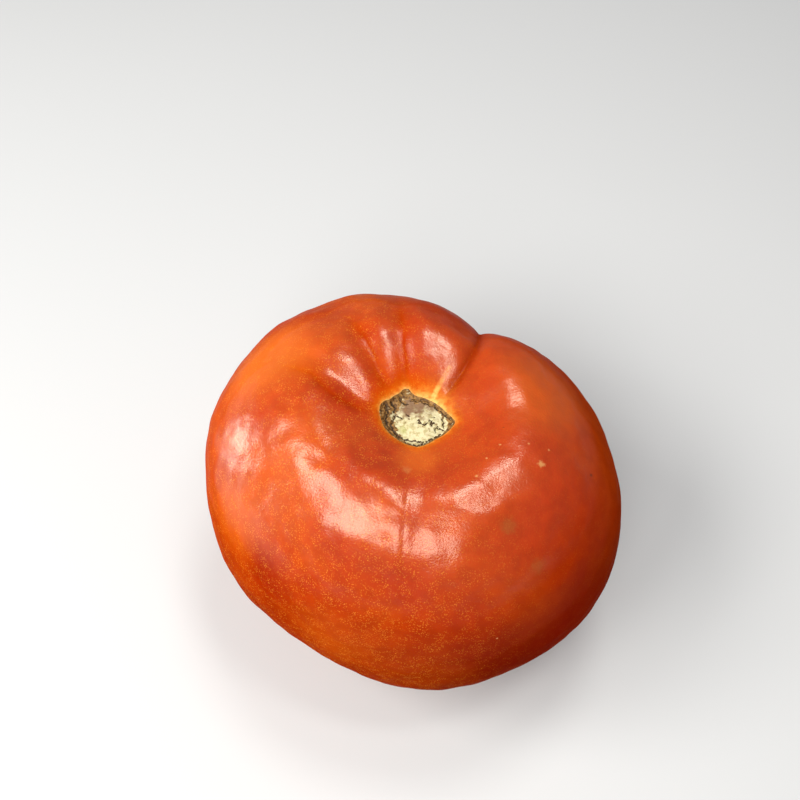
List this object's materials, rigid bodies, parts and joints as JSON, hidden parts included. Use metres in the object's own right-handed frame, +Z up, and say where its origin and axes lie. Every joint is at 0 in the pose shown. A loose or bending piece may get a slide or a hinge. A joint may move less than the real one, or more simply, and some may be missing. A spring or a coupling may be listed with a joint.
{
  "type": "tomato",
  "caption": "Ripe beefsteak tomato, whole, with furrowed shoulders around a sunken corky stem scar, resting on a small flat spot.",
  "frame": {"origin": "middle of the small flat spot at the blossom end that the fruit rests on", "axes": "+Z up through the stem scar; the deep furrow runs down the shoulder at 60 degrees from +X towards +Y; +X along the longest side of the box"},
  "size_m": [0.0937, 0.0894, 0.0733],
  "materials": {
    "skin": "ripe orange-red skin with a soft waxy gloss, fine golden speckles and a yellow halo around the stem",
    "stem_scar": "dry cracked cork, cream in the middle and brown at the rim"
  },
  "bodies": {
    "root": {"tomato": "skin"}
  },
  "joints": []
}
